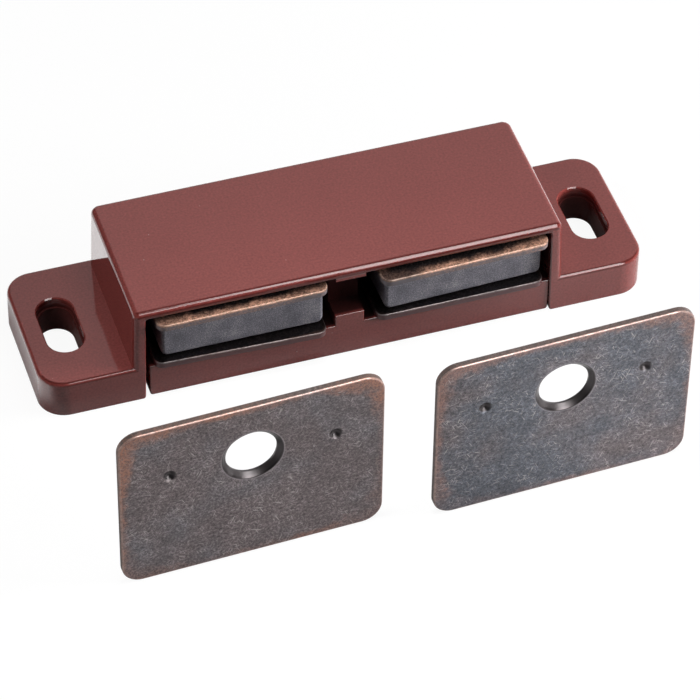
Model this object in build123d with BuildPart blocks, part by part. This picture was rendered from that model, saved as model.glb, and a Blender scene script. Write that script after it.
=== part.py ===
from build123d import *
import os
from math import cos, radians, sin

# Double magnetic cabinet catch with its two strike plates, in millimetres.
# +X runs along the catch, +Y goes back from its working face and +Z up from the board it is
# screwed to. The origin is on the seating face, midway between the two screw slots.

# ---- Magnets: pressed ferrite blocks ----
magnet_width = 21.1
magnet_depth = 15.0
magnet_thickness = 6.1
magnet_corner_radius = 0.8
magnet_chamfer = 0.45

# ---- Pole plates: sheet steel above and below each magnet, and larger than it all round ----
sheet = 0.9
plate_overhang = 0.6  # past each end of the magnet
plate_projection = 1.5  # past the front and the back of the magnet
plate_corner_radius = 1.2
plate_chamfer = 0.12

# ---- Room round a pack in the housing ----
stack_gap = 0.65  # above it
outer_gap = 1.0  # beside the end wall
inner_gap = 1.45  # beside the divider
back_gap = 2.35  # behind its plates, midway in their travel
middle_stand_out = 0.85  # of the plates in front of the housing, midway in their travel

# ---- Housing: one brown moulded shell, open in front and below, with an ear at each end ----
top_wall = 1.1
end_wall = 1.7
back_wall = 1.5
end_draft = 2.0  # degrees that each end wall leans in
top_edge_radius = 0.75
front_corner_radius = 0.8
rear_corner_radius = 1.2
mouth_corner_radius = 0.4
mouth_chamfer = 0.15
foot_radius = 0.4
core_shift = 0.4  # the moulding core stands this far to the right of the box
core_draft = 1.0  # degrees
ear_length = 11.6
ear_thickness = 5.4
ear_corner_radius = 3.5
ear_edge_radius = 0.5

# ---- Screw slots: a shallow lead-in above a slot that opens out downwards ----
slot_inset = 5.0  # from the end of the ear to the middle of the slot
slot_width = 4.4
slot_length = 9.3
slot_ledge = 0.22
slot_lead_depth = 1.5
slot_draft = 2.0  # degrees
slot_chamfer = 0.15

# ---- Base plate: pushed up between the end walls, and pegged into the divider ----
base_height = 5.05
base_recess = 0.3
base_side_gap = 0.25
base_shift = 0.15  # it sits this far to the left of the middle of the hollow
base_back_gap = 0.3
base_edge_radius = 0.15
block_step = 0.05  # from each side of the divider to the side of the block under it
block_rise = 1.75
pocket_depth = 3.7
pocket_margin = 0.85  # from each end of a plate to the pockets under it
pocket_rows = 2
pockets_per_side = 3
rib_thickness = 1.3

# ---- Divider: hangs from the top wall between the two packs ----
divider_width = 3.9
divider_relief = 3.2  # its front is cut back this far, down to a low rib
rib_drop = 0.45
peg_diameter = 2.0
peg_height = 3.5
peg_spacing = 9.0
peg_clearance = 0.04

# ---- Lugs: they stand in a notch at each end of every plate, and let the packs float ----
float_travel = 1.8
lug_width = 1.8
lug_length = 1.3
lug_height = 0.75
lug_side_gap = 0.55
notch_depth = 1.7
largest_turn = 2.2  # degrees that a loose piece can turn between its lugs

# ---- Strikes: stamped plates that the door carries, each with a screw hole and two nibs ----
strike_sheet = 0.9
strike_width = 33.2
strike_height = 24.9
strike_corner_radius = 2.6
strike_chamfer = 0.15
hole_diameter = 6.5
hole_sink_diameter = 7.75  # of its countersink, at the front face
hole_land = 0.3  # left straight behind the countersink
hole_inset = 8.1  # from the upper edge to the middle of the hole and of both nibs
nib_spacing = 20.8
nib_diameter = 1.9
nib_point = 0.5
nib_rise = 0.7
dimple_diameter = 1.8
dimple_point = 0.5
dimple_depth = 0.6

# How the loose pieces lie: shift to the right of their place, stand-out in front of the
# housing and turn in degrees, which takes the right-hand end back.
pack_lie = {
    "left": {"upper_pole": (0.35, 0.95, 0.6), "magnet": (0.6, -0.65, 0.0), "lower_pole": (0.1, 0.75, -2.0)},
    "right": {"upper_pole": (0.4, 1.35, 1.6), "magnet": (0.7, -0.75, 2.0), "lower_pole": (0.1, 0.45, 0.0)},
}
strike_lie = {"left": (-21.45, 28.6, 2.3), "right": (17.75, 28.95, 2.3)}

# ---- Worked out from the sizes above ----
plate_width = magnet_width + 2 * plate_overhang
plate_depth = magnet_depth + 2 * plate_projection
pack_place = divider_width / 2 + inner_gap + plate_width / 2  # middle of a pack, each side
mouth_half = pack_place + plate_width / 2 + outer_gap
box_length = 2 * (mouth_half + end_wall)  # midway up the box
overall_length = box_length + 2 * ear_length
housing_depth = plate_depth - middle_stand_out + back_gap + back_wall
front = -housing_depth / 2
roof = base_height + 2 * sheet + magnet_thickness + stack_gap  # underside of the top wall
box_height = roof + top_wall
lean_end = sin(radians(end_draft)) / cos(radians(end_draft))
lean_core = sin(radians(core_draft)) / cos(radians(core_draft))
slot_place = overall_length / 2 - slot_inset
block_top = base_height + block_rise
lug_setback = plate_depth / 2 - middle_stand_out
lug_centre = plate_width / 2 - notch_depth + lug_side_gap + lug_length / 2
notch_width = lug_width + float_travel + plate_width * sin(radians(largest_turn))
lug_places = [
    (side * pack_place + end * lug_centre, front + lug_setback)
    for side in (-1, 1)
    for end in (-1, 1)
]
peg_middle = (divider_relief + housing_depth - back_wall) / 2 + front

os.makedirs("parts", exist_ok=True)


def finish(part, name):
    """Names a finished piece and writes it."""
    part.label = name
    export_step(part, f"parts/{name}.step")


# ---- Housing ----
with BuildPart() as box:
    # the box between the ears, whose end walls lean in
    with BuildSketch(Plane.XZ.offset(-front)):
        with BuildLine():
            Polyline(
                (-box_length / 2 - lean_end * ear_thickness, 0),
                (-box_length / 2 + lean_end * (box_height - ear_thickness), box_height),
                (box_length / 2 - lean_end * (box_height - ear_thickness), box_height),
                (box_length / 2 + lean_end * ear_thickness, 0),
                close=True,
            )
        make_face()
    extrude(amount=-housing_depth)
    rear_face = box.faces().sort_by(Axis.Y)[-1]
    fillet(rear_face.edges().filter_by(Axis.X, reverse=True), rear_corner_radius)
    front_face = box.faces().sort_by(Axis.Y)[0]
    fillet(front_face.edges().filter_by(Axis.X, reverse=True), front_corner_radius)
    fillet(box.faces().sort_by(Axis.Z)[-1].edges(), top_edge_radius)

with BuildPart() as housing:
    # the strip that ends in the two ears
    with BuildSketch():
        RectangleRounded(overall_length, housing_depth, ear_corner_radius)
    extrude(amount=ear_thickness)
    fillet(housing.faces().sort_by(Axis.Z)[-1].edges(), ear_edge_radius)
    add(box.part)

    # the hollow, open in front and below
    with BuildSketch(Plane.XZ.offset(-front)) as mouth:
        with Locations((core_shift, 0)):
            with BuildLine():
                Polyline(
                    (-mouth_half - lean_core * roof / 2, 0),
                    (-mouth_half + lean_core * roof / 2, roof),
                    (mouth_half - lean_core * roof / 2, roof),
                    (mouth_half + lean_core * roof / 2, 0),
                    close=True,
                )
            make_face()
        fillet(mouth.vertices().group_by(Axis.Y)[-1], mouth_corner_radius)
    extrude(amount=back_wall - housing_depth, mode=Mode.SUBTRACT)

    # the edges round the mouth, then the feet of the end walls
    rim = housing.faces().filter_by(Plane.XZ).sort_by(Axis.Y)[0].edges().filter_by_position(Axis.Z, 0, roof)
    rim = rim.filter_by(lambda edge: 0 < edge.center().Z and abs(edge.center().X) < box_length / 2)
    chamfer(rim, mouth_chamfer)
    foot_edges = housing.faces().sort_by(Axis.Z)[0].edges().filter_by(Axis.Y)
    fillet(foot_edges.filter_by_position(Axis.X, -box_length / 2, box_length / 2), foot_radius)

    # the divider, with its front cut back to a low rib
    with BuildSketch(Plane.YZ.offset(-divider_width / 2)):
        with BuildLine():
            Polyline(
                (front, roof + top_wall / 2),
                (front, roof - rib_drop),
                (front + divider_relief, roof - rib_drop),
                (front + divider_relief, block_top),
                (front + housing_depth - back_wall / 2, block_top),
                (front + housing_depth - back_wall / 2, roof + top_wall / 2),
                close=True,
            )
        make_face()
    extrude(amount=divider_width)
    with BuildSketch(Plane.XY.offset(block_top)):
        with Locations((0, peg_middle)):
            with GridLocations(0, peg_spacing, 1, 2):
                Circle(peg_diameter / 2 + peg_clearance)
    extrude(amount=peg_height + peg_clearance, mode=Mode.SUBTRACT)

    # lugs under the top wall, for the upper plates
    with BuildSketch(Plane.XY.offset(roof - lug_height)):
        with Locations(*lug_places):
            Rectangle(lug_length, lug_width)
    extrude(amount=lug_height)

    # screw slots
    with BuildSketch(Plane.XY.offset(ear_thickness - slot_lead_depth)):
        with GridLocations(2 * slot_place, 0, 2, 1):
            SlotOverall(slot_length + 2 * slot_ledge, slot_width + 2 * slot_ledge, rotation=90)
    extrude(amount=slot_lead_depth, mode=Mode.SUBTRACT)
    with BuildSketch(Plane.XY.offset(ear_thickness - slot_lead_depth)):
        with GridLocations(2 * slot_place, 0, 2, 1):
            SlotOverall(slot_length, slot_width, rotation=90)
    extrude(amount=slot_lead_depth - ear_thickness, taper=-slot_draft, mode=Mode.SUBTRACT)
    slot_rims = housing.edges().filter_by_position(Axis.Z, ear_thickness, ear_thickness)
    rim_reach = slot_width / 2 + slot_ledge + slot_chamfer
    chamfer(
        slot_rims.filter_by(lambda edge: abs(abs(edge.center().X) - slot_place) < rim_reach),
        slot_chamfer,
    )
finish(housing.part, "housing")


# ---- Base plate ----
base_half = mouth_half - base_side_gap
base_depth = housing_depth - base_recess - back_wall - base_back_gap
base_middle = front + base_recess + base_depth / 2
pocket_length = (base_depth - (pocket_rows + 1) * rib_thickness) / pocket_rows
pockets_width = plate_width - 2 * pocket_margin
pocket_width = (pockets_width - (pockets_per_side - 1) * rib_thickness) / pockets_per_side
with BuildPart() as base_plate:
    with BuildSketch(Plane.XZ.offset(-front - base_recess)) as base_front:
        with Locations((core_shift - base_shift, base_height / 2)):
            Rectangle(2 * base_half, base_height)
        fillet(base_front.vertices().group_by(Axis.Y)[0], foot_radius)
    extrude(amount=-base_depth)

    # the block that meets the divider, on the middle of the catch, and its two pegs
    with BuildSketch(Plane.XY.offset(base_height)):
        with Locations((0, base_middle)):
            Rectangle(divider_width - 2 * block_step, base_depth)
    extrude(amount=block_rise)
    with BuildSketch(Plane.XY.offset(block_top)):
        with Locations((0, peg_middle)):
            with GridLocations(0, peg_spacing, 1, 2):
                Circle(peg_diameter / 2)
    extrude(amount=peg_height)

    # lugs for the lower plates
    with BuildSketch(Plane.XY.offset(base_height)):
        with Locations(*lug_places):
            Rectangle(lug_length, lug_width)
    extrude(amount=lug_height)

    # cored out from below, under each pack
    with BuildSketch(Plane.XY):
        for side in (-1, 1):
            with Locations((side * pack_place, base_middle)):
                with GridLocations(
                    pocket_width + rib_thickness,
                    pocket_length + rib_thickness,
                    pockets_per_side,
                    pocket_rows,
                ):
                    Rectangle(pocket_width, pocket_length)
    extrude(amount=pocket_depth, mode=Mode.SUBTRACT)
    face = base_plate.faces().filter_by(Plane.XZ).sort_by(Axis.Y)[0]
    fillet(face.edges().filter_by_position(Axis.Z, base_height / 2, block_top), base_edge_radius)
finish(base_plate.part, "base_plate")


# ---- Magnet packs ----
def lie_plane(side, shift, stand_out, turn, height):
    """Plane of a loose piece: its origin is at the middle of the piece's front edge."""
    middle = (-1 if side == "left" else 1) * pack_place
    return Plane(
        origin=(middle + shift, front - stand_out, height),
        x_dir=(cos(radians(turn)), sin(radians(turn)), 0),
        z_dir=(0, 0, 1),
    )


def pole_plate(plane):
    """Steel plate with rounded corners and a notch for a lug at each end."""
    with BuildPart() as plate:
        with BuildSketch(plane):
            with Locations((0, plate_depth / 2)):
                RectangleRounded(plate_width, plate_depth, plate_corner_radius)
                with GridLocations(plate_width, 0, 2, 1):
                    Rectangle(2 * notch_depth, notch_width, mode=Mode.SUBTRACT)
        extrude(amount=sheet)
        chamfer(plate.faces().sort_by(Axis.Z)[-1].edges(), plate_chamfer)
    return plate.part


def magnet_block(plane):
    """Ferrite block, its long edges rounded and its two ends chamfered all round."""
    with BuildPart() as block:
        with BuildSketch(plane):
            with Locations((0, magnet_depth / 2)):
                Rectangle(magnet_width, magnet_depth)
        extrude(amount=magnet_thickness)
        fillet(block.edges().filter_by(Axis(plane.origin, plane.y_dir)), magnet_corner_radius)
        ends = block.faces().filter_by(Axis(plane.origin, plane.y_dir))
        chamfer(ends.edges(), magnet_chamfer)
    return block.part


for side, lies in pack_lie.items():
    lower = base_height
    middle = lower + sheet
    upper = middle + magnet_thickness
    finish(pole_plate(lie_plane(side, *lies["lower_pole"], lower)), f"lower_pole_{side}")
    finish(magnet_block(lie_plane(side, *lies["magnet"], middle)), f"magnet_{side}")
    finish(pole_plate(lie_plane(side, *lies["upper_pole"], upper)), f"upper_pole_{side}")


# ---- Strikes ----
hole_height = strike_height - hole_inset


def strike_plate(across, stand_off, turn):
    """Stamped plate on edge, facing forward: countersunk hole, two dimples and the nibs behind."""
    facing = Plane(
        origin=(across, front - stand_off, 0),
        x_dir=(cos(radians(turn)), sin(radians(turn)), 0),
        z_dir=(sin(radians(turn)), -cos(radians(turn)), 0),
    )
    with BuildPart() as strike:
        with BuildSketch(facing):
            with Locations((0, strike_height / 2)):
                RectangleRounded(strike_width, strike_height, strike_corner_radius)
            with Locations((0, hole_height)):
                Circle(hole_diameter / 2, mode=Mode.SUBTRACT)
        extrude(amount=-strike_sheet)
        with Locations(facing):
            with Locations((0, hole_height, 0)):
                Cone(
                    hole_diameter / 2,
                    hole_sink_diameter / 2,
                    strike_sheet - hole_land,
                    align=(Align.CENTER, Align.CENTER, Align.MAX),
                    mode=Mode.SUBTRACT,
                )
        chamfer(strike.faces().sort_by(Axis.Y)[0].edges(), strike_chamfer)
        with Locations(facing):
            with Locations((0, hole_height, 0)):
                with GridLocations(nib_spacing, 0, 2, 1):
                    Cone(
                        dimple_point / 2,
                        dimple_diameter / 2,
                        dimple_depth,
                        align=(Align.CENTER, Align.CENTER, Align.MAX),
                        mode=Mode.SUBTRACT,
                    )
            with Locations((0, hole_height, -strike_sheet)):
                with GridLocations(nib_spacing, 0, 2, 1):
                    Cone(
                        nib_point / 2,
                        nib_diameter / 2,
                        nib_rise,
                        align=(Align.CENTER, Align.CENTER, Align.MAX),
                    )
    return strike.part


for side, lie in strike_lie.items():
    finish(strike_plate(*lie), f"strike_{side}")
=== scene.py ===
"""Double magnetic catch and its two strikes: meshes, finishes, light and camera.

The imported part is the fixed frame. The moulded housing and base plate stay as they are
packed and get their finish here. The pole plates, the magnets and the strikes are modelled
again with rolled edges, punch marks and the surface that their making gives them.
"""
import logging
import math
from dataclasses import dataclass, field, replace
from enum import Enum
from functools import partial
from typing import Any, Callable, Mapping, Sequence

import bmesh
import bpy
from bmesh.types import BMesh, BMEdge, BMVert
from bpy.types import Light, Material, NodeSocket as Socket, NodeTree, Object, World
from mathutils import Matrix, Vector


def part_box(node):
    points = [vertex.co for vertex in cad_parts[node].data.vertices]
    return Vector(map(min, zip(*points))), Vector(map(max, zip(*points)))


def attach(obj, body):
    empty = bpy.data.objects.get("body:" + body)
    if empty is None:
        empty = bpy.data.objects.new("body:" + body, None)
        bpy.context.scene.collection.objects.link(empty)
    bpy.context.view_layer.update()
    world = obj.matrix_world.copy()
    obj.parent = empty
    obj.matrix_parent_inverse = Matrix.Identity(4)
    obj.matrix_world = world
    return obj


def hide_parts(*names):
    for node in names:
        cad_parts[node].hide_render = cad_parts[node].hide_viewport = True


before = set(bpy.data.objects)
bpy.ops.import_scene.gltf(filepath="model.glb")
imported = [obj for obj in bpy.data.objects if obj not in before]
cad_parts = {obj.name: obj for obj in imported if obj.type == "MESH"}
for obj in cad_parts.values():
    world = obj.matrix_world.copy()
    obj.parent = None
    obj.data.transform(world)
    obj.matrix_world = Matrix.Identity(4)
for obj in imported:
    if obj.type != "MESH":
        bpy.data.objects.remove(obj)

LOG = logging.getLogger("magnetic_catch")
MM = 0.001  # metres in a millimetre
SHARP = math.radians(40.0)  # an edge that turns more than this stays sharp
LIE = "lie_mm"  # attribute: a point's place on its own piece, in millimetres
Colour = tuple[float, float, float, float]
NodeMaker = Callable[..., Any]  # add_node, bound to a tree
Pair = tuple[float, float]
Point = tuple[float, float, float]
Ring = list[BMEdge]
RGBA = {"data_type": "RGBA"}
SMOOTH = {"interpolation_type": "SMOOTHSTEP"}
TIMES = {"operation": "MULTIPLY"}
TIMES_PLUS = {"operation": "MULTIPLY_ADD"}
PLUS = {"operation": "ADD"}
MINUS = {"operation": "SUBTRACT"}
LARGER = {"operation": "MAXIMUM"}
UNSIGNED = {"operation": "ABSOLUTE"}
LENGTH = {"operation": "LENGTH"}


class Side(Enum):
    """The two ends of the catch."""

    LEFT = "left"
    RIGHT = "right"


class Slot(Enum):
    """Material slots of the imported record, for the pieces that are modelled again."""

    FERRITE = "ferrite"
    POLE = "pole_steel"
    STRIKE = "strike_steel"


def paint(code: str) -> Colour:
    """Turns an sRGB hex colour to the linear colour that shaders work in.

    Args:
        code: six hex digits after a hash.

    Returns:
        Red, green, blue and alpha.
    """
    parts = [int(code[i : i + 2], 16) / 255 for i in (1, 3, 5)]
    linear = [c / 12.92 if c <= 0.04045 else ((c + 0.055) / 1.055) ** 2.4 for c in parts]
    return (linear[0], linear[1], linear[2], 1.0)


def add_node(
    tree: NodeTree,
    kind: str,
    inputs: Mapping[str | int, Any] | Sequence[Any] = (),
    settings: Mapping[str, Any] | None = None,
    output: str | None = None,
    stops: Sequence[tuple[float, str]] = (),
) -> Socket | None:
    """Adds a shader node with its settings and its links.

    Args:
        tree: node tree that takes the node.
        kind: the node's type name, without ShaderNode.
        inputs: what feeds each input, by name or in order: a socket, or the input's value.
        settings: properties of the node itself.
        output: name of the output to give back, for one that is not the first.
        stops: for a colour ramp, place from 0 to 1 and hex colour of each stop, in order.

    Returns:
        The node's output, or None where it has none.
    """
    node = tree.nodes.new(f"ShaderNode{kind}")
    for name, value in (settings or {}).items():
        setattr(node, name, value)
    for name, value in inputs.items() if isinstance(inputs, Mapping) else enumerate(inputs):
        if isinstance(value, Socket):
            tree.links.new(value, node.inputs[name])
        else:
            node.inputs[name].default_value = value
    for step, (place, code) in enumerate(stops):
        elements = node.color_ramp.elements
        element = elements[step] if step < len(elements) else elements.new(place)
        element.position = place
        element.color = paint(code)
    if output:
        return node.outputs[output]
    return next((socket for socket in node.outputs if socket.enabled), None)


def start_tree(owner: Material | World) -> NodeMaker:
    """Empties the node tree of a material or a world.

    Args:
        owner: the material or the world.

    Returns:
        add_node bound to its tree.
    """
    owner.use_nodes = True
    owner.node_tree.nodes.clear()
    return partial(add_node, owner.node_tree)


def new_material(name: str) -> tuple[Material, NodeMaker]:
    """Starts a node material.

    Args:
        name: the finish's name.

    Returns:
        The material and add_node bound to its tree.
    """
    material = bpy.data.materials.new(name)
    return material, start_tree(material)


# ---------------------------------------------------------------- finishes


@dataclass(frozen=True)
class MouldedAbs:
    """Reddish brown ABS, injection moulded in a polished tool.

    The polish gives a near-mirror gloss at a low angle, a faint orange peel, and slow waves
    where the plastic has shrunk, which bend the highlights along the arrises. The hollow and
    the screw slots, where the tool was left rough, have a dull gloss, and their colour is
    darkened to nearly black as painted shade. Painted shade also darkens the colour beside
    the glints on the arrises and the lip, and a pale painted highlight runs along the lip's foot.
    """

    colour: str = "#7f3935"
    cloud: str = "#88413d"
    dust: str = "#d9bdb6"
    roughness: float = 0.07
    ior: float = 1.54
    cloud_mm: float = 9.0
    grain_mm: float = 0.3  # drawn as coarse as it needs to show
    grain_depth: float = 0.45
    peel_mm: float = 0.9
    peel_height_mm: float = 0.0012
    wave_mm: float = 5.0
    wave_height_mm: float = 0.03
    dust_spacing_mm: float = 2.6
    dust_size: float = 0.035  # of the spacing
    dust_share: float = 0.7
    level: float = 0.5  # specular level
    # painted shade: the near black laid into the hollow and the screw slots
    inside: str = "#1a0a0b"
    inside_shade_share: float = 0.85
    inside_roughness: float = 0.6
    inside_level: float = 0.06
    flank_mm: float = 26.7  # end of the hollow, from the middle
    front_mm: float = -10.0  # of the hollow
    back_mm: float = 9.2
    foot_mm: float = 5.03
    lip_mm: float = 13.65  # its top, where the front lip ends
    slot_place_mm: float = 35.0  # middle of a screw slot
    slot_half_width_mm: float = 2.55
    slot_half_length_mm: float = 5.0
    slot_rim_mm: float = 5.1
    # painted shade: the slot walls darken to nearly black over this depth
    slot_fade_mm: float = 0.9  # it darkens over this depth
    slot_shade_share: float = 0.8
    # painted highlight: the pale line at the foot of the lip
    lip_glint: str = "#c79a95"
    lip_glint_share: float = 0.5
    # painted shade beside the glints on the arrises and on the lip's front
    arris: str = "#3c1412"
    arris_shade_depth: float = 0.6

    def material(self) -> Material:
        """Builds the finish on Object coordinates.

        Returns:
            The material.
        """
        material, add = new_material("moulded_abs")
        coordinates = add("TexCoord").node.outputs
        scaled = add(
            "VectorMath", {0: coordinates["Object"], "Scale": 1 / MM}, {"operation": "SCALE"}
        )

        # polished skin: flow clouds, a fine grain, and dust that the static holds
        clouds = add("TexNoise", {"Vector": scaled, "Scale": 1 / self.cloud_mm, "Detail": 2.0})
        grain = add("TexNoise", {"Vector": scaled, "Scale": 1 / self.grain_mm, "Detail": 3.0})
        clouded = add("Mix", {0: clouds, 6: paint(self.colour), 7: paint(self.cloud)}, RGBA)
        light = add("MapRange", [grain, 0.0, 1.0, 1.0 - self.grain_depth, 1.0 + self.grain_depth])
        grained = add("VectorMath", {0: clouded, "Scale": light}, {"operation": "SCALE"})
        cells = add("TexVoronoi", {"Vector": scaled, "Scale": 1 / self.dust_spacing_mm})
        specks = add("MapRange", [cells, 0.0, self.dust_size, self.dust_share, 0.0])
        dusty = add("Mix", {0: specks, 6: grained, 7: paint(self.dust)}, RGBA)

        # painted shade: the hollow, between the end walls and under the top wall, is darkened to
        # nearly black
        axes = add("SeparateXYZ", [scaled]).node.outputs
        across = add("Math", [axes[0]], UNSIGNED)
        flank, front, high = self.flank_mm, self.front_mm, self.lip_mm
        between = add("MapRange", [across, flank - 0.02, flank + 0.02, 1.0, 0.0])
        hollow = between
        for axis, start, end in (
            (axes[1], front - 0.15, front + 0.4),
            (axes[1], self.back_mm + 0.1, self.back_mm),
            (axes[2], self.foot_mm - 0.02, self.foot_mm),
            (axes[2], high + 0.02, high),
        ):
            within = add("MapRange", [axis, start, end])
            hollow = add("Math", [hollow, within], TIMES)

        # painted shade: the walls of the screw slots darken from a little below their rim
        rim = self.slot_rim_mm
        aside = add("Math", [across, self.slot_place_mm], MINUS)
        beside = add("Math", [aside], UNSIGNED)
        lengthways = add("Math", [axes[1]], UNSIGNED)
        slot = add("MapRange", [axes[2], rim, rim - self.slot_fade_mm, 0.0, self.slot_shade_share])
        halves = (beside, self.slot_half_width_mm), (lengthways, self.slot_half_length_mm)
        for axis, half in halves:
            within = add("MapRange", [axis, half, half + 0.1, 1.0, 0.0])
            slot = add("Math", [slot, within], TIMES)
        hollow = add("Math", [hollow, slot], LARGER)
        unlit = add("Math", [hollow, self.inside_shade_share], TIMES)
        recess_shaded = add("Mix", {0: unlit, 6: dusty, 7: paint(self.inside)}, RGBA)

        # painted highlight: a pale line along the foot of the front lip, where its small arris
        # would catch the light
        foot = add("MapRange", [axes[2], high + 0.02, high + 0.12, 1.0, 0.0])
        fore = add("MapRange", [axes[1], front, front + 0.1, self.lip_glint_share, 0.0])
        lip = add("Math", [foot, fore], TIMES)
        lip_glint_place = add("Math", [lip, between], TIMES)
        above = add("MapRange", [axes[2], high - 0.1, high - 0.05])
        line = add("Math", [lip_glint_place, above], TIMES)
        glint_lined = add("Mix", {0: line, 6: recess_shaded, 7: paint(self.lip_glint)}, RGBA)

        # painted shade: darker colour along the top arrises and on the lip's front, on both sides
        # of the glint
        facing = add("SeparateXYZ", [coordinates["Normal"]]).node.outputs
        bounds = (1, -0.04, -0.25), (2, 0.74, 0.86), (1, -0.86, -0.94), (2, 0.03, 0.15)
        turning, upward, upright, sloping = (
            add("MapRange", [facing[axis], start, end]) for axis, start, end in bounds
        )
        over = add("Math", [turning, upward], TIMES)
        lip_front = add("Math", [above, between], TIMES)
        lower = add("Math", [sloping, lip_front], LARGER)
        under = add("Math", [upright, lower], TIMES)
        arris_shade = add("Math", [over, under], LARGER)
        depth = add("Math", [arris_shade, self.arris_shade_depth], TIMES)
        colour = add("Mix", {0: depth, 6: glint_lined, 7: paint(self.arris)}, RGBA)

        # the way the light lies on it: uneven gloss, slow waves and orange peel
        peel = add("TexNoise", {"Vector": scaled, "Scale": 1 / self.peel_mm, "Detail": 2.0})
        gloss = add("MapRange", [peel, 0.0, 1.0, 0.8 * self.roughness, 1.3 * self.roughness])
        wave = add("TexNoise", {"Vector": scaled, "Scale": 1 / self.wave_mm, "Detail": 1.0})
        sunk = add("Bump", {"Distance": self.wave_height_mm * MM, "Height": wave})
        height = self.peel_height_mm * MM
        peeled = add("Bump", {"Distance": height, "Height": peel, "Normal": sunk})
        rough = add("Mix", {0: hollow, 2: gloss, 3: self.inside_roughness})
        level = add("MapRange", [hollow, 0.0, 1.0, self.level, self.inside_level])
        surface = {"Base Color": colour, "Roughness": rough, "IOR": self.ior, "Normal": peeled}
        surface["Specular IOR Level"] = level
        add("OutputMaterial", [add("BsdfPrincipled", surface)])
        return material


@dataclass(frozen=True)
class SinteredFerrite:
    """Ferrite, pressed from powder and fired: a dull dark grey, gritty and never polished."""

    dark: str = "#5a585f"
    mid: str = "#82808a"
    light: str = "#c4bfc2"
    roughness: float = 0.62
    grit_mm: float = 0.16
    patch_mm: float = 2.5
    pit_height_mm: float = 0.02

    def material(self) -> Material:
        """Builds the finish on the piece's own coordinates.

        Returns:
            The material.
        """
        material, add = new_material("sintered_ferrite")
        place = add("Attribute", settings={"attribute_name": LIE}, output="Vector")
        grit = add(
            "TexNoise",
            {"Vector": place, "Scale": 1 / self.grit_mm, "Detail": 4.0, "Roughness": 0.7},
        )
        patches = add("TexNoise", {"Vector": place, "Scale": 1 / self.patch_mm, "Detail": 2.0})
        mixed = add("Mix", {0: 0.25, 2: grit, 3: patches})
        colour = add(
            "ValToRGB", [mixed], stops=[(0.36, self.dark), (0.52, self.mid), (0.66, self.light)]
        )
        pits = add("Bump", {"Distance": self.pit_height_mm * MM, "Height": grit})
        surface = {"Base Color": colour, "Roughness": self.roughness, "Normal": pits}
        add("OutputMaterial", [add("BsdfPrincipled", surface)])
        return material


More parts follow.
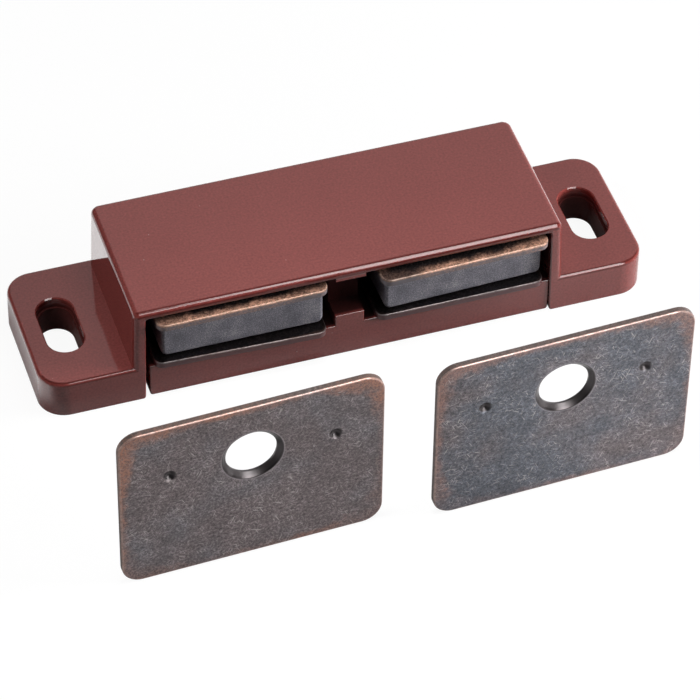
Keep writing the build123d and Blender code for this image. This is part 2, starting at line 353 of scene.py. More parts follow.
@dataclass(frozen=True)
class AntiqueCopper:
    """Steel plated with copper, blackened, and tumbled until the copper shows on the edges.

    The tumbling leaves a mottled grey patina with short fine scratches, a speckled copper
    band along the outline, wider at the corners, and a bright line on the front arris, which
    is worn metal and partly a painted highlight. Where a punch cut or pressed the steel it is
    smoother and darker.
    """

    name: str
    half_width: float
    half_height: float
    corner: float
    seed: float = 0.0
    warm: float = 0.5  # share of brown against blue grey in the patina
    band_mm: float = 0.9  # width of the copper band
    corner_band_mm: float = 1.5  # what it gains at a corner
    corner_reach_mm: float = 5.0  # it starts to gain this far before the corner
    rag_per_mm: float = 0.7
    rag_depth: float = 2.4  # of its inner border, in widths of the band
    band_strength: float = 0.9
    speckle_floor: float = 0.35  # share of the copper between the specks
    band_lean: Point = (-0.006, 0.008, 0.0)  # up and to the left
    band_patch_mm: float = 8.0  # it comes and goes over this length
    handled_floor: float = 0.2  # share of the band where it is faintest
    arris_mm: float = 0.15
    arris_strength: float = 0.75
    arris_floor: float = 0.35  # share of the bright line where it is faintest
    side_mm: float = 0.13  # depth below the face where the cut side begins
    dark: str = "#4c484a"
    mid: str = "#7b7679"
    light: str = "#aea6a9"
    brown: str = "#7f7374"
    slate: str = "#77757a"
    copper: str = "#c58d76"
    # worn metal, and partly a painted highlight on the arris
    bright: str = "#d6b8ae"
    edge: str = "#5b5350"
    fleck: str = "#e2dad6"
    punched: str = "#575253"
    metallic: float = 0.5
    worn_metallic: float = 0.6
    edge_metallic: float = 0.5
    roughness: float = 0.48
    worn_roughness: float = 0.3
    tint_share: float = 0.8
    side_share: float = 0.3  # of the face's colour, in specks on the cut side
    lip_share: float = 0.6
    mottle_mm: float = 0.32
    patch_mm: float = 2.6
    cloud_mm: float = 9.0
    scratch_length_mm: float = 1.2
    scratch_width_mm: float = 0.13  # finer in truth, and drawn this wide to show
    scratch_strength: float = 0.6
    patch_share: float = 0.12
    scratch_turns: tuple[float, ...] = (14.0, 67.0, 118.0, 159.0)
    relief_mm: float = 0.012
    punch_height: float = 0.0  # of the hole and the marks, above the middle
    hole_reach: float = -1.0  # radius of what the hole's punch touched; below 0 for no hole
    mark_reach: float = -1.0
    mark_spacing: float = 0.0

    def material(self) -> Material:
        """Builds the finish on the piece's own coordinates.

        Returns:
            The material.
        """
        material, add = new_material(self.name)
        place = add("Attribute", settings={"attribute_name": LIE}, output="Vector")
        start = (self.seed, 0.7 * self.seed, 0.3 * self.seed)
        seeded = add("VectorMath", [place, start], PLUS)
        mottle = add(
            "TexNoise",
            {"Vector": seeded, "Scale": 1 / self.mottle_mm, "Detail": 5.0, "Roughness": 0.85},
        )
        patches = add(
            "TexNoise",
            {"Vector": seeded, "Scale": 1 / self.patch_mm, "Detail": 3.0, "Roughness": 0.6},
        )
        patina = self.patina(add, seeded, mottle, patches)
        scratches = self.scratches(add, seeded)
        gathered = add("MapRange", [patches, 0.42, 0.6, 0.2, 1.0], SMOOTH)
        marks = add("Math", [scratches, gathered], TIMES)
        shown = add("Math", [marks, self.scratch_strength], TIMES)
        marked = add("Mix", {0: shown, 6: patina, 7: paint(self.fleck)}, RGBA)

        # copper where it was rubbed, in specks: along the outline, most at the corners
        flat = add("VectorMath", [place, (1.0, 1.0, 0.0)], TIMES)
        inside, along = self.outline(add, flat)
        depth = add("SeparateXYZ", [place], output="Z")
        nearing = add("MapRange", [along, -self.corner_reach_mm, 0.5], SMOOTH)
        band = add("Math", [nearing, self.corner_band_mm, self.band_mm], TIMES_PLUS)
        rag = add(
            "TexNoise",
            {"Vector": seeded, "Scale": self.rag_per_mm, "Detail": 4.0, "Roughness": 0.7},
        )
        ragged = add("Math", [rag, -self.rag_depth, self.rag_depth / 2], TIMES_PLUS)
        share = add("Math", [inside, band], {"operation": "DIVIDE"})
        reach = add("Math", [share, ragged], PLUS)
        rubbed = add("MapRange", [reach, 0.0, 1.3, 1.0, 0.0], SMOOTH)
        speckle = add("MapRange", [mottle, 0.42, 0.56, self.speckle_floor, 1.0], SMOOTH)
        lap = add("TexNoise", {"Vector": seeded, "Scale": 1 / self.band_patch_mm, "Detail": 1.0})
        lean = add("VectorMath", [place, self.band_lean], {"operation": "DOT_PRODUCT"}, "Value")
        leaning = add("Math", [lap, lean], PLUS)
        handled = add("MapRange", [leaning, 0.36, 0.62, self.handled_floor, 1.0], SMOOTH)
        fading = add("Math", [rubbed, handled], TIMES)
        speckled = add("Math", [fading, speckle], TIMES)
        copper_share = add("Math", [speckled, self.band_strength], TIMES)
        coppered = add("Mix", {0: copper_share, 6: marked, 7: paint(self.copper)}, RGBA)

        # the cut side, and the arris between it and the face, worn bright in places; the bright
        # line is also a painted highlight on the arris
        side = add("MapRange", [depth, -self.side_mm, -self.side_mm - 0.12], SMOOTH)
        brushed = add("Math", [speckle, self.side_share], TIMES)
        cut_side = add("Mix", {0: brushed, 6: paint(self.edge), 7: coppered}, RGBA)
        sided = add("Mix", {0: side, 6: coppered, 7: cut_side}, RGBA)
        rim = add("MapRange", [inside, self.arris_mm * 0.8, self.arris_mm * 1.8, 1.0, 0.0], SMOOTH)
        faced = add("Math", [1.0, side], MINUS)
        rimmed = add("Math", [rim, faced], TIMES)
        worn = add("TexNoise", {"Vector": seeded, "Scale": 1.1, "Detail": 5.0, "Roughness": 0.8})
        broken = add("MapRange", [worn, 0.4, 0.6, self.arris_floor, 1.0], SMOOTH)
        arris = add("Math", [rimmed, broken], TIMES)
        arris_share = add("Math", [arris, self.arris_strength], TIMES)
        glint_lined = add("Mix", {0: arris_share, 6: sided, 7: paint(self.bright)}, RGBA)

        # the punched hole and marks
        cut, lip = self.punched_places(add, flat)
        lip_share = add("Math", [lip, self.lip_share], TIMES)
        lipped = add("Mix", {0: lip_share, 6: glint_lined, 7: paint(self.light)}, RGBA)
        colour = add("Mix", {0: cut, 6: lipped, 7: paint(self.punched)}, RGBA)

        # more metallic where it is rubbed or cut, smoother there, and scored by the scratches
        bare = add("Math", [speckled, arris], LARGER)
        metal = add("MapRange", [bare, 0.0, 1.0, self.metallic, self.worn_metallic])
        cut_metal = add("Math", [metal, cut], LARGER)
        edged = add("Mix", {0: side, 2: cut_metal, 3: self.edge_metallic})
        smooth = add("Math", [arris, cut], LARGER)
        gloss = add("MapRange", [smooth, 0.0, 1.0, self.roughness, self.worn_roughness])
        lowered = add("Math", [marks, -0.5, mottle], TIMES_PLUS)
        relief = add("Bump", {"Distance": self.relief_mm * MM, "Height": lowered})
        surface = {"Base Color": colour, "Metallic": edged, "Roughness": gloss, "Normal": relief}
        add("OutputMaterial", [add("BsdfPrincipled", surface)])
        return material

    def patina(self, add: NodeMaker, seeded: Socket, mottle: Socket, patches: Socket) -> Socket:
        """The blackened layer: fine light and dark specks, in clouds of brown and blue grey.

        Args:
            add: adds a node.
            seeded: coordinates in millimetres.
            mottle: fine noise.
            patches: slower noise.

        Returns:
            Its colour.
        """
        tone = add("Mix", {0: self.patch_share, 2: mottle, 3: patches})
        grey = add(
            "ValToRGB", [tone], stops=[(0.36, self.dark), (0.5, self.mid), (0.64, self.light)]
        )
        shift = 0.4 * (0.5 - self.warm)
        cloud = add("TexNoise", {"Vector": seeded, "Scale": 1 / self.cloud_mm, "Detail": 3.0})
        browned = add("MapRange", [cloud, 0.32 + shift, 0.68 + shift], SMOOTH)
        tint = add("Mix", {0: browned, 6: paint(self.slate), 7: paint(self.brown)}, RGBA)
        return add("Mix", {0: self.tint_share, 6: grey, 7: tint}, {**RGBA, "blend_type": "COLOR"})

    def outline(self, add: NodeMaker, flat: Socket) -> tuple[Socket, Socket]:
        """Distances from the outline, a rectangle with round corners.

        Args:
            add: adds a node.
            flat: coordinates in millimetres, along the face.

        Returns:
            How far a point lies inside the outline, and how far it is past the start of the
            corners, below 0 along the straight sides.
        """
        folded = add("VectorMath", [flat], UNSIGNED)
        flank = (self.half_width - self.corner, self.half_height - self.corner, 0.0)
        past = add("VectorMath", [folded, flank], MINUS)
        outward = add("VectorMath", [past], LARGER)
        reach = add("VectorMath", [outward], LENGTH)
        axes = add("SeparateXYZ", [past]).node.outputs
        farther = add("Math", [axes[0], axes[1]], LARGER)
        within = add("Math", [farther, 0.0], {"operation": "MINIMUM"})
        signed = add("Math", [reach, within], PLUS)
        inside = add("Math", [self.corner, signed], MINUS)
        along = add("Math", [axes[0], axes[1]], PLUS)
        return inside, along

    def punched_places(self, add: NodeMaker, flat: Socket) -> tuple[Socket, Socket]:
        """Where the punches cut or pressed the steel.

        Args:
            add: adds a node.
            flat: coordinates in millimetres, along the face.

        Returns:
            A socket that is 1 on the cut steel and one that is 1 on the hole's raised lip.
        """
        middle = (0.0, self.punch_height, 0.0)
        centred = add("VectorMath", [flat, middle], MINUS)
        hole_near = add("VectorMath", [centred], LENGTH)
        halved = add("VectorMath", [centred], UNSIGNED)
        mark_middle = (self.mark_spacing / 2, 0.0, 0.0)
        from_mark = add("VectorMath", [halved, mark_middle], MINUS)
        mark_near = add("VectorMath", [from_mark], LENGTH)
        reach = self.hole_reach
        in_hole = add("MapRange", [hole_near, reach, reach + 0.1, 1.0, 0.0], SMOOTH)
        by_hole = add("MapRange", [hole_near, reach + 0.1, reach + 0.3, 1.0, 0.0], SMOOTH)
        reach = self.mark_reach
        in_mark = add("MapRange", [mark_near, reach - 0.4, reach, 1.0, 0.0], SMOOTH)
        cut = add("Math", [in_hole, in_mark], LARGER)
        lip = add("Math", [by_hole, in_hole], MINUS)
        return cut, lip

    def scratches(self, add: NodeMaker, seeded: Socket) -> Socket:
        """Short strokes in several directions, slightly bent.

        Args:
            add: adds a node.
            seeded: coordinates in millimetres.

        Returns:
            A socket that is 1 on a stroke and 0 off it.
        """
        strokes = []
        for turn in self.scratch_turns:
            spin = (0.0, 0.0, math.radians(turn))
            size = (self.scratch_length_mm, self.scratch_width_mm, 1.0)
            laid = [seeded, (turn, -turn, 0.0), spin, size]
            stretched = add("Mapping", laid, {"vector_type": "TEXTURE"})
            noise = {"Vector": stretched, "Scale": 1.0, "Detail": 0.0, "Distortion": 0.6}
            streaks = add("TexNoise", noise)
            strokes.append(add("MapRange", [streaks, 0.715, 0.79], SMOOTH))
        total = strokes[0]
        for stroke in strokes[1:]:
            total = add("Math", [total, stroke], LARGER)
        return total


LEFT_STRIKE_PLATING = AntiqueCopper(
    name="antique_copper_strike_left",
    half_width=16.6,
    half_height=12.45,
    corner=2.6,
    seed=3.0,
    warm=0.75,
    punch_height=4.35,
    hole_reach=3.86,
    mark_reach=0.95,
    mark_spacing=20.8,
)
RIGHT_STRIKE_PLATING = replace(
    LEFT_STRIKE_PLATING,
    name="antique_copper_strike_right",
    seed=57.0,
    warm=0.3,
    band_strength=0.55,
    arris_strength=0.6,
    # painted shade: a darker patina than the left strike's, to offset the stronger light on this
    # one
    dark="#444346",
    mid="#6f6d72",
    light="#9f9a9f",
    slate="#70747e",
)
UPPER_POLE_PLATING = AntiqueCopper(
    name="antique_copper_upper_pole",
    half_width=11.15,
    half_height=9.0,
    corner=1.2,
    band_lean=(0.0, 0.0, 0.0),
    warm=0.9,
    band_mm=1.1,
    corner_band_mm=0.9,
    band_strength=1.0,
    arris_strength=0.3,
    side_mm=0.2,
    # painted shade: the patina is darker than on the strikes, partly for the shade under the
    # housing's lip
    dark="#1f1a1b",
    mid="#332a2a",
    light="#5c4a46",
    copper="#dca78c",
    bright="#f0d0bd",
    edge="#6b6970",
    metallic=0.85,
    edge_metallic=0.1,
    worn_metallic=0.2,
    scratch_strength=0.0,
)
LOWER_POLE_PLATING = AntiqueCopper(
    name="antique_copper_lower_pole",
    half_width=11.15,
    half_height=9.0,
    corner=1.2,
    band_lean=(0.0, 0.0, 0.0),
    warm=0.8,
    band_mm=0.2,
    corner_band_mm=0.3,
    band_strength=0.15,
    arris_mm=0.08,
    arris_strength=0.6,
    scratch_strength=0.0,
    # painted shade: the patina is darker than on the strikes, partly for the shade around the
    # magnet
    dark="#1d1a1c",
    mid="#2b2628",
    light="#453e40",
    # painted reflection: the plum cut side stands in for the brown base that it mirrors
    edge="#5b393b",
    bright="#a89c9c",
    metallic=0.9,
    edge_metallic=0.1,
    roughness=0.3,
)


# ---------------------------------------------------------------- pieces


@dataclass(frozen=True)
class Placement:
    """Where a flat or square piece lies, read from its CAD node.

    Attributes:
        node: the CAD node's name.
        matrix: from the piece's own axes in millimetres to the frame in metres. Its origin is
            the middle of the face that shows, with x along the piece and z out of that face.
        size: the piece's size along its own axes, in millimetres.
    """

    node: str
    matrix: Matrix
    size: Vector

    @staticmethod
    def front_turn(node: str) -> float:
        """Finds how far a node is turned, from its largest forward face.

        Args:
            node: the CAD node's name.

        Returns:
            Its turn about Z, in radians.
        """
        forward: dict[float, float] = {}
        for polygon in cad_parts[node].data.polygons:
            if abs(polygon.normal.z) < 1e-3 and polygon.normal.y < -0.9:
                turn = round(math.atan2(polygon.normal.x, -polygon.normal.y), 4)
                forward[turn] = forward.get(turn, 0.0) + polygon.area
        return max(forward, key=forward.get)

    @classmethod
    def lying(cls, node: str) -> "Placement":
        """A plate or a block that lies flat: z is up, and the origin is on its top face.

        Args:
            node: the CAD node's name.

        Returns:
            Its placement.
        """
        turn = cls.front_turn(node)
        low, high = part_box(node)
        middle = Vector(((low[0] + high[0]) / 2, (low[1] + high[1]) / 2, high[2]))
        matrix = Matrix.Translation(middle) @ Matrix.Rotation(turn, 4, "Z") @ Matrix.Scale(MM, 4)
        low, high = cls.own_box(node, matrix)
        return cls(node, matrix, high - low)

    @classmethod
    def standing(cls, node: str, back: float) -> "Placement":
        """A plate on edge: z is forward, and the origin is on its front face.

        Args:
            node: the CAD node's name.
            back: how far the sheet's front face is from the back of its nibs, in millimetres.

        Returns:
            Its placement.
        """
        turn = cls.front_turn(node)
        low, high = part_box(node)
        middle = (Vector(low) + Vector(high)) / 2
        upright = Matrix.Rotation(turn, 4, "Z") @ Matrix.Rotation(math.radians(90), 4, "X")
        matrix = Matrix.Translation(middle) @ upright @ Matrix.Scale(MM, 4)
        low, high = cls.own_box(node, matrix)
        front = Vector(((low.x + high.x) / 2, (low.y + high.y) / 2, low.z + back))
        matrix = matrix @ Matrix.Translation(front)
        low, high = cls.own_box(node, matrix)
        return cls(node, matrix, high - low)

    @staticmethod
    def own_box(node: str, matrix: Matrix) -> tuple[Vector, Vector]:
        """Measures a node along a piece's own axes.

        Args:
            node: the CAD node's name.
            matrix: from those axes in millimetres to the frame.

        Returns:
            The lowest and the highest corner of its box, in millimetres.
        """
        inverse = matrix.inverted()
        sides = list(zip(*(inverse @ v.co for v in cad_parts[node].data.vertices)))
        return Vector([min(side) for side in sides]), Vector([max(side) for side in sides])


def soften(
    bm: BMesh, geometry: Sequence[BMVert | BMEdge], radius: float, steps: int, kind: str = "EDGES"
) -> dict[str, list[Any]]:
    """Rounds edges or flat corners off.

    Args:
        bm: the mesh that holds them.
        geometry: the edges or the corners.
        radius: how far back from them the round starts.
        steps: faces in each round.
        kind: EDGES or VERTICES.

    Returns:
        What the bevel made.
    """
    return bmesh.ops.bevel(
        bm,
        geom=geometry,
        offset=radius,
        offset_type="OFFSET",
        segments=steps,
        profile=0.5,
        affect=kind,
        material=-1,
    )


def outline_ring(
    bm: BMesh, width: float, height: float, corner: float, segments: int, depth: float
) -> Ring:
    """Adds a closed ring of edges: a rectangle with round corners, at one depth.

    Args:
        bm: mesh that takes the ring.
        width: size along x.
        height: size along y.
        corner: corner radius.
        segments: steps in each corner.
        depth: place along z.

    Returns:
        The ring's edges.
    """
    place = Matrix.Translation((0, 0, depth)) @ Matrix.Diagonal((width, height, 1, 1))
    sheet = bmesh.ops.create_grid(bm, x_segments=1, y_segments=1, size=0.5, matrix=place)
    rounded = soften(bm, sheet["verts"], corner, segments, "VERTICES")
    # dict.fromkeys drops repeats and keeps the order, which a set doesn't do from run to run
    faces = dict.fromkeys(f for v in rounded["verts"] for f in v.link_faces)
    edges = [e for f in faces for e in f.edges]
    bmesh.ops.delete(bm, geom=list(faces), context="FACES_ONLY")
    return edges


def join_rings(bm: BMesh, rings: Sequence[Ring]) -> None:
    """Bridges each ring to the next.

    Args:
        bm: the mesh that holds them.
        rings: rings of edges in order.
    """
    for first, second in zip(rings, rings[1:]):
        bmesh.ops.bridge_loops(bm, edges=[*first, *second])


def rolled_steps(radius: float, steps: int) -> list[Pair]:
    """Inset and depth at each step round a rolled arris, from the side to the face.

    Args:
        radius: the arris's radius.
        steps: number of steps.

    Returns:
        Pairs of inset from the outline and depth below the face.
    """
    turns = [math.radians(90) * i / steps for i in range(steps + 1)]
    return [(radius * (1 - math.cos(t)), -radius * (1 - math.sin(t))) for t in turns]


def place_piece(
    name: str,
    bm: BMesh,
    placement: Placement,
    body: str,
    finish: Material,
) -> Object:
    """Turns a mesh in its own millimetres into a finished piece in the frame.

    Args:
        name: the piece's name.
        bm: its mesh, which is freed.
        placement: where it lies, and the CAD node that it stands for.
        body: the body that it rides on.
        finish: its material.

    Returns:
        The piece.
    """
    bmesh.ops.remove_doubles(bm, verts=bm.verts[:], dist=1e-4)
    bmesh.ops.recalc_face_normals(bm, faces=bm.faces[:])
    layer = bm.verts.layers.float_vector.new(LIE)
    for vert in bm.verts:
        vert[layer] = vert.co
    bmesh.ops.transform(bm, matrix=placement.matrix, verts=bm.verts[:])
    for edge in bm.edges:
        edge.smooth = edge.calc_face_angle(0.0) < SHARP
    for face in bm.faces:
        face.smooth = True
    mesh = bpy.data.meshes.new(name)
    bm.to_mesh(mesh)
    bm.free()
    mesh.materials.append(finish)
    piece = bpy.data.objects.new(name, mesh)
    bpy.context.scene.collection.objects.link(piece)
    weighted = piece.modifiers.new("flat_faces_flat", "WEIGHTED_NORMAL")
    weighted.keep_sharp = True
    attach(piece, body)
    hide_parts(placement.node)
    LOG.info("%s: %d faces, for %s", name, len(mesh.polygons), placement.node)
    return piece


@dataclass
class Housing:
    """The moulded shell and the base plate pushed up into it, which stay as packed."""

    finish: MouldedAbs = field(default_factory=MouldedAbs)
    nodes: tuple[str, ...] = ("housing", "base_plate")

    def dress(self) -> None:
        """Gives both mouldings their finish."""
        material = self.finish.material()
        for node in self.nodes:
            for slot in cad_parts[node].material_slots:
                slot.material = material
            LOG.info("%s: %s", node, material.name)


@dataclass
class MagnetPack:
    """A ferrite block between two notched pole plates."""

    side: Side
    seed: float
    plate_corner: float = 1.2
    plate_roll: float = 0.14
    plate_steps: int = 5
    roll_steps: int = 3
    notch_depth: float = 1.7
    notch_width: float = 4.456
    block_corner: float = 0.8
    block_edge: float = 0.5
    block_steps: int = 5
    edge_steps: int = 4
    lower_seed: float = 12.6  # added to the seed for the lower plate
    ferrite: SinteredFerrite = field(default_factory=SinteredFerrite)

    @property
    def body(self) -> str:
        """The body that the pack's pieces ride on.

        Returns:
            Its name.
        """
        return f"pack_{self.side.value}"

    def build(self) -> None:
        """Builds the block, then both plates."""
        self.block(self.ferrite.material())
        for name, plating in (
            ("upper_pole", UPPER_POLE_PLATING),
            ("lower_pole", LOWER_POLE_PLATING),
        ):
            finish = replace(
                plating,
                name=f"{plating.name}_{self.side.value}",
                seed=self.seed + (0.0 if plating is UPPER_POLE_PLATING else self.lower_seed),
            )
            self.plate(name, finish)

    def plate(self, name: str, finish: AntiqueCopper) -> None:
        """Cuts one pole plate: round corners, a notch at each end and a rolled top arris.

        Args:
            name: upper_pole or lower_pole.
            finish: its plating.
        """
        placement = Placement.lying(f"{name}_{self.side.value}")
        width, height, sheet = placement.size
        bm = bmesh.new()
        spread = Matrix.Diagonal((width, height, 1, 1))
        bmesh.ops.create_grid(bm, x_segments=1, y_segments=1, size=0.5, matrix=spread)
        reach = width / 2 - self.notch_depth
        half = self.notch_width / 2
        for point, normal in (
            ((reach, 0, 0), (1, 0, 0)),
            ((-reach, 0, 0), (1, 0, 0)),
            ((0, half, 0), (0, 1, 0)),
            ((0, -half, 0), (0, 1, 0)),
        ):
            bmesh.ops.bisect_plane(
                bm, geom=[*bm.verts, *bm.edges, *bm.faces], plane_co=point, plane_no=normal
            )
        notches = [
            f
            for f in bm.faces
            if abs(f.calc_center_median().x) > reach and abs(f.calc_center_median().y) < half
        ]
        bmesh.ops.delete(bm, geom=notches, context="FACES")
        bmesh.ops.dissolve_limit(
            bm, angle_limit=math.radians(1), verts=bm.verts[:], edges=bm.edges[:]
        )
        corners = [
            v
            for v in bm.verts
            if abs(v.co.x) > width / 2 - 1e-3 and abs(v.co.y) > height / 2 - 1e-3
        ]
        soften(bm, corners, self.plate_corner, self.plate_steps, "VERTICES")
        raised = bmesh.ops.extrude_face_region(bm, geom=bm.faces[:])
        lowered = [v for v in raised["geom"] if isinstance(v, BMVert)]
        bmesh.ops.translate(bm, verts=lowered, vec=(0, 0, -sheet))
        bmesh.ops.recalc_face_normals(bm, faces=bm.faces[:])
        top = [
            e
            for e in bm.edges
            if all(abs(v.co.z) < 1e-5 for v in e.verts) and e.calc_face_angle(0.0) > 1.0
        ]
        soften(bm, top, self.plate_roll, self.roll_steps)
        place_piece(
            f"{name}_plate_{self.side.value}", bm, placement, self.body,
            finish.material(),
        )

    def block(self, material: Material) -> None:
        """Presses the magnet: round long edges and soft rims at both ends.

        Args:
            material: the ferrite.
        """
        placement = Placement.lying(f"magnet_{self.side.value}")
        width, depth, height = placement.size
        bm = bmesh.new()
        place = Matrix.Translation((0, 0, -height / 2)) @ Matrix.Diagonal((width, depth, height, 1))
        bmesh.ops.create_cube(bm, size=1.0, matrix=place)
        along = [e for e in bm.edges if abs(e.verts[0].co.y - e.verts[1].co.y) > depth / 2]
        soften(bm, along, self.block_corner, self.block_steps)
        rims = [
            e
            for e in bm.edges
            if abs(e.verts[0].co.y - e.verts[1].co.y) < 1e-5
            and abs(e.verts[0].co.y) > depth / 2 - 1e-3
        ]
        soften(bm, rims, self.block_edge, self.edge_steps)
        place_piece(
            f"magnet_block_{self.side.value}", bm, placement, self.body, material
        )


@dataclass
class Strike:
    """A stamped plate on edge: rolled front arris, screw hole, two punch marks and nibs."""

    side: Side
    finish: AntiqueCopper
    sheet: float = 0.9
    corner: float = 2.6
    roll: float = 0.2
    roll_steps: int = 4
    burr: float = 0.05
    hole_radius: float = 3.25
    hole_sink: float = 3.875  # radius of the countersink at the front face
    hole_land: float = 0.3  # left straight behind the countersink
    hole_inset: float = 8.1
    nib_spacing: float = 20.8
    nib_radius: float = 0.95
    nib_point: float = 0.25
    nib_rise: float = 0.7
    mark_radius: float = 0.9
    mark_depth: float = 0.6
    steps: int = 8
    round_steps: int = 72
    mark_steps: int = 24

    def build(self) -> None:
        """Stamps the plate and puts it on its door body."""
        placement = Placement.standing(f"strike_{self.side.value}", self.sheet + self.nib_rise)
        width, height, _ = placement.size
        level = height / 2 - self.hole_inset
        bm = bmesh.new()
        front, back = self.sides(bm, width, height)
        back_hole, front_hole = self.turned(bm, (0.0, level), self.round_steps, self.hole())
        front += front_hole
        back += back_hole
        for across in (-self.nib_spacing / 2, self.nib_spacing / 2):
            centre = (across, level)
            for face, profile in ((front, self.punch_mark()), (back, self.nib())):
                rim, tip = self.turned(bm, centre, self.mark_steps, profile)
                bmesh.ops.edgeloop_fill(bm, edges=tip)
                face += rim
        for face in (front, back):
            bmesh.ops.triangle_fill(bm, use_beauty=True, use_dissolve=False, edges=face)
        place_piece(
            f"strike_plate_{self.side.value}",
            bm,
            placement,
            f"door_strike_{self.side.value}",
            self.finish.material(),
        )

    def sides(self, bm: BMesh, width: float, height: float) -> tuple[Ring, Ring]:
        """Builds the outline's wall with its rolled arris.

        Args:
            bm: the plate's mesh.
            width: the plate's width.
            height: the plate's height.

        Returns:
            The rings that bound the front face and the back face.
        """
        profile = [
            (self.burr, -self.sheet),
            (0.0, -self.sheet + self.burr),
            *rolled_steps(self.roll, self.roll_steps),
        ]
        rings = [
            outline_ring(
                bm, width - 2 * inset, height - 2 * inset, self.corner - inset, self.steps, depth
            )
            for inset, depth in profile
        ]
        join_rings(bm, rings)
        return rings[-1], rings[0]

    @staticmethod
    def turned(
        bm: BMesh, centre: Pair, steps: int, profile: Sequence[Pair]
    ) -> tuple[Ring, Ring]:
        """Turns a profile about an axis through the plate.

        Args:
            bm: the plate's mesh.
            centre: where the axis meets the plate.
            steps: faces round it.
            profile: radius and depth at each of its points.

        Returns:
            The first ring and the last.
        """
        rings = []
        for radius, depth in profile:
            place = Matrix.Translation((*centre, depth))
            made = bmesh.ops.create_circle(
                bm, cap_ends=False, radius=radius, segments=steps, matrix=place
            )
            rings.append(list(dict.fromkeys(e for v in made["verts"] for e in v.link_edges)))
        join_rings(bm, rings)
        return rings[0], rings[-1]

    def hole(self) -> list[Pair]:
        """Profile of the screw hole, from the back: straight, sunk, and with a soft front rim.

        Returns:
            Radius and depth at each of its points.
        """
        return [
            (self.hole_radius, -self.sheet),
            (self.hole_radius, -self.sheet + self.hole_land),
            (self.hole_sink - self.roll / 2, -self.roll / 2),
            (self.hole_sink - self.roll / 4, -self.roll / 6),
            (self.hole_sink + self.roll / 6, 0.0),
        ]

    def punch_mark(self) -> list[Pair]:
        """Profile of the cone that the nib's punch leaves: a soft rim and a blunt tip.

        Returns:
            Radius and depth at each of its points.
        """
        radius, depth = self.mark_radius, self.mark_depth
        return [
            (1.08 * radius, 0.0),
            (0.97 * radius, -0.05 * depth),
            (0.88 * radius, -0.2 * depth),
            (0.45 * radius, -0.85 * depth),
            (0.25 * radius, -depth),
        ]

    def nib(self) -> list[Pair]:
        """Profile of the nib behind a punch mark.

        Returns:
            Radius and depth at each of its points.
        """
        profile = [
            (self.nib_radius * 1.15, 0.0),
            (self.nib_radius, -0.12 * self.nib_rise),
            (self.nib_point * 1.5, -0.85 * self.nib_rise),
            (self.nib_point, -self.nib_rise),
        ]
        return [(radius, -self.sheet + depth) for radius, depth in profile]


# ---------------------------------------------------------------- studio


class Use(Enum):
    """What a lamp is there for."""

    LIGHT = "light"  # it lights the surfaces, and no gloss shows it
    GLINT = "glint"  # only a gloss shows it


@dataclass(frozen=True)
class Lamp:
    """What every lamp has.

    Attributes:
        name: the lamp's name.
        use: what it is there for.
        place_mm: its middle, from the foot of the catch's working face.
        aim_mm: the point that it faces.
        turn: about its own axis, in degrees.
    """

    name: str
    use: Use
    place_mm: Point
    aim_mm: Point
    turn: float

    def hang(self, origin: Vector) -> None:
        """Adds the lamp in its place.

        Args:
            origin: the foot of the catch's working face.
        """
        away = (Vector(self.place_mm) - Vector(self.aim_mm)).normalized()
        facing = away.to_track_quat("Z", "Y").to_matrix().to_4x4()
        turned = facing @ Matrix.Rotation(math.radians(self.turn), 4, "Z")
        piece = bpy.data.objects.new(self.name, self.data())
        piece.matrix_world = Matrix.Translation(origin + Vector(self.place_mm) * MM) @ turned
        piece.visible_glossy = self.use is Use.GLINT
        piece.visible_diffuse = self.use is Use.LIGHT
        bpy.context.scene.collection.objects.link(piece)


@dataclass(frozen=True)
class Softbox(Lamp):
    """A rectangular lamp."""

    width_mm: float
    height_mm: float
    radiance: float  # of its face, where 1 is white paper

    def data(self) -> Light:
        """Makes its light.

        Returns:
            The light.
        """
        lamp = bpy.data.lights.new(self.name, "AREA")
        lamp.shape = "RECTANGLE"
        lamp.size = self.width_mm * MM
        lamp.size_y = self.height_mm * MM
        lamp.energy = self.radiance * math.pi * lamp.size * lamp.size_y
        return lamp


@dataclass(frozen=True)
class Spot(Lamp):
    """A small lamp with a soft-edged pool of light."""

    cone: float  # full angle of the pool, in degrees
    power: float  # in watts
    radius_mm: float = 20.0  # of the lamp, which softens its shadow

    def data(self) -> Light:
        """Makes its light.

        Returns:
            The light.
        """
        lamp = bpy.data.lights.new(self.name, "SPOT")
        lamp.energy = self.power
        lamp.spot_size = math.radians(self.cone)
        lamp.spot_blend = 1.0
        lamp.shadow_soft_size = self.radius_mm * MM
        return lamp


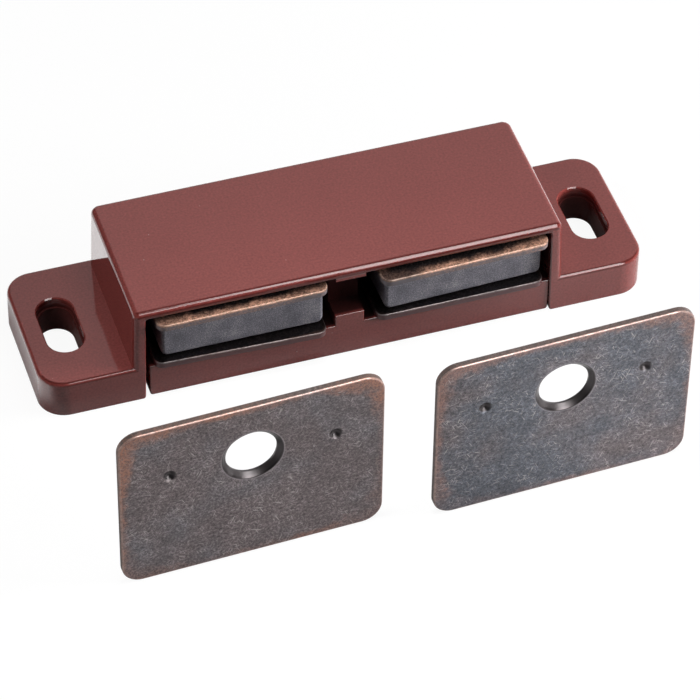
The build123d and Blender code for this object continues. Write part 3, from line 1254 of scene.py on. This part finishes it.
@dataclass
class Studio:
    """White sweep, softboxes to light it, a tall card for the glints, and a long lens."""

    lamps: tuple[Softbox | Spot, ...] = (
        Softbox("right_softbox", Use.LIGHT, (326, -88, 91), (0, 0, 0), 0.0, 160, 160, 21.8),
        Softbox("left_softbox", Use.LIGHT, (-247, 0, 247), (0, 0, 0), 0.0, 160, 160, 5.5),
        Softbox("top_softbox", Use.LIGHT, (91, 0, 338), (0, 0, 0), 0.0, 160, 160, 3.2),
        Softbox("front_softbox", Use.LIGHT, (169, -293, 91), (0, 0, 0), 0.0, 160, 160, 2.7),
        Spot("pool", Use.LIGHT, (-30, -30, 350), (-5, -30, 5), 0.0, 19, 1.9),
        Softbox(
            "glint_card", Use.GLINT, (123.6, -190, 258.5), (123.6, 46.4, 73.8), 6.1, 130, 370, 8.2
        ),
        Softbox(
            "glint_strip", Use.GLINT, (33.0, -190, 258.5), (33.0, 46.4, 73.8), 0.0, 110, 95, 6.5
        ),
    )
    floor_size: float = 4.0
    floor_grey: float = 0.1
    # painted shade: to a gloss the paper is this grey before the catch, and whiter to the right and
    # behind
    floor_mirrored_grey: float = 0.5  # what a gloss shows before the catch, in light and shadow
    floor_mirrored_white: float = 0.95  # what it shows elsewhere
    floor_glow: float = 0.92
    floor_mirrored_glow: float = 1.1  # behind the catch and to its left
    floor_blend: float = 3 * MM
    floor_bright: Pair = (4 * MM, 28 * MM)  # it grows white from left to right
    room_glow: float = 0.01
    azimuth: float = 18.54
    elevation: float = 45.16
    roll: float = 1.0
    distance: float = 0.525
    lens: float = 212.7
    aim_right_mm: float = 0.009
    aim_up_mm: float = 0.421

    def build(self) -> None:
        """Sets up the whole studio."""
        low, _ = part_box("housing")
        target = Vector((0.0, low[1], 0.0))
        self.camera(target)
        for lamp in self.lamps:
            lamp.hang(target)
        self.floor()
        self.room()
        scene = bpy.context.scene
        scene.view_settings.view_transform = "Standard"
        LOG.info("studio: %d lamps", len(self.lamps))

    def camera(self, target: Vector) -> None:
        """Adds the camera.

        Args:
            target: foot of the working face, midway along the catch.
        """
        turn, lift = math.radians(self.azimuth), math.radians(self.elevation)
        away = Vector(
            (-math.sin(turn) * math.cos(lift), -math.cos(turn) * math.cos(lift), math.sin(lift))
        )
        facing = away.to_track_quat("Z", "Y").to_matrix().to_4x4()
        rolled = facing @ Matrix.Rotation(math.radians(self.roll), 4, "Z")
        offset = rolled @ Vector((self.aim_right_mm * MM, self.aim_up_mm * MM, self.distance))
        data = bpy.data.cameras.new("long_lens")
        data.lens = self.lens
        data.sensor_width = 36.0
        data.clip_start = 0.01
        data.clip_end = 10.0
        camera = bpy.data.objects.new("long_lens", data)
        camera.matrix_world = Matrix.Translation(target + offset) @ rolled
        bpy.context.scene.collection.objects.link(camera)
        bpy.context.scene.camera = camera

    def floor(self) -> None:
        """Lays the sweep: white to the eye; to a gloss, paper in light and shadow, painted greyer
        before the catch.
        """
        bm = bmesh.new()
        bmesh.ops.create_grid(bm, x_segments=1, y_segments=1, size=self.floor_size / 2)
        mesh = bpy.data.meshes.new("sweep")
        bm.to_mesh(mesh)
        bm.free()
        sweep = bpy.data.objects.new("sweep", mesh)
        bpy.context.scene.collection.objects.link(sweep)
        material, add = new_material("matt_paper")
        low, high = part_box("housing")
        axes = add("SeparateXYZ", [add("TexCoord", output="Object")]).node.outputs
        leftward = add("Math", [axes[0], -1.0], TIMES)
        left = add("MapRange", [leftward, -low[0], self.floor_blend - low[0]], SMOOTH)
        back = add("MapRange", [axes[1], high[1], high[1] + self.floor_blend], SMOOTH)
        beyond = add("Math", [left, back], LARGER)
        behind = add("MapRange", [axes[1], low[1] - self.floor_blend, low[1] + MM], SMOOTH)
        glowing = add("Math", [beyond, behind], TIMES)
        path = add("LightPath").node.outputs
        mirrored = add("Math", [path["Is Glossy Ray"], glowing], TIMES)
        glow = add("Math", [mirrored, self.floor_mirrored_glow], TIMES)
        seen = add("Math", [path["Is Camera Ray"], path["Is Transmission Ray"]], LARGER)
        strength = add("Math", [seen, self.floor_glow, glow], TIMES_PLUS)
        emitted = add("Emission", {"Strength": strength})
        # painted shade: to a gloss the paper is greyer before the catch, whiter to the right and
        # behind
        right = add("MapRange", [axes[0], *self.floor_bright], SMOOTH)
        clear = add("Math", [right, behind], LARGER)
        shown = add(
            "MapRange", [clear, 0.0, 1.0, self.floor_mirrored_grey, self.floor_mirrored_white]
        )
        grey = add("Mix", {0: path["Is Glossy Ray"], 2: self.floor_grey, 3: shown})
        paper = add("BsdfDiffuse", {"Color": add("CombineXYZ", [grey, grey, grey])})
        add("OutputMaterial", [add("AddShader", [paper, emitted])])
        mesh.materials.append(material)

    def room(self) -> None:
        """Fills the room: white where it is seen; a gloss shows one pale wall at the back."""
        world = bpy.data.worlds.new("room")
        bpy.context.scene.world = world
        add = start_tree(world)
        axes = add("SeparateXYZ", [add("TexCoord", output="Generated")]).node.outputs
        backward = add("MapRange", [axes[1], 0.15, 0.55, 0.04, 1.0], SMOOTH)
        rightward = add("MapRange", [axes[0], -0.3, 0.1, 0.12, 1.0], SMOOTH)
        wall = add("Math", [backward, rightward], TIMES)
        path = add("LightPath").node.outputs
        lit = add("Mix", {0: path["Is Glossy Ray"], 2: self.room_glow, 3: wall})
        seen = add("Math", [path["Is Camera Ray"], path["Is Transmission Ray"]], LARGER)
        strength = add("Mix", {0: seen, 2: lit, 3: 1.0})
        add("OutputWorld", [add("Background", {"Strength": strength})])


def main() -> None:
    """Builds the pieces, dresses them and lights them."""
    logging.basicConfig(level=logging.INFO, format="%(message)s")
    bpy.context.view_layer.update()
    Housing().dress()
    MagnetPack(Side.LEFT, seed=7.3).build()
    MagnetPack(Side.RIGHT, seed=19.1).build()
    Strike(Side.LEFT, LEFT_STRIKE_PLATING).build()
    Strike(Side.RIGHT, RIGHT_STRIKE_PLATING).build()
    Studio().build()


if __name__ == "__main__":
    main()
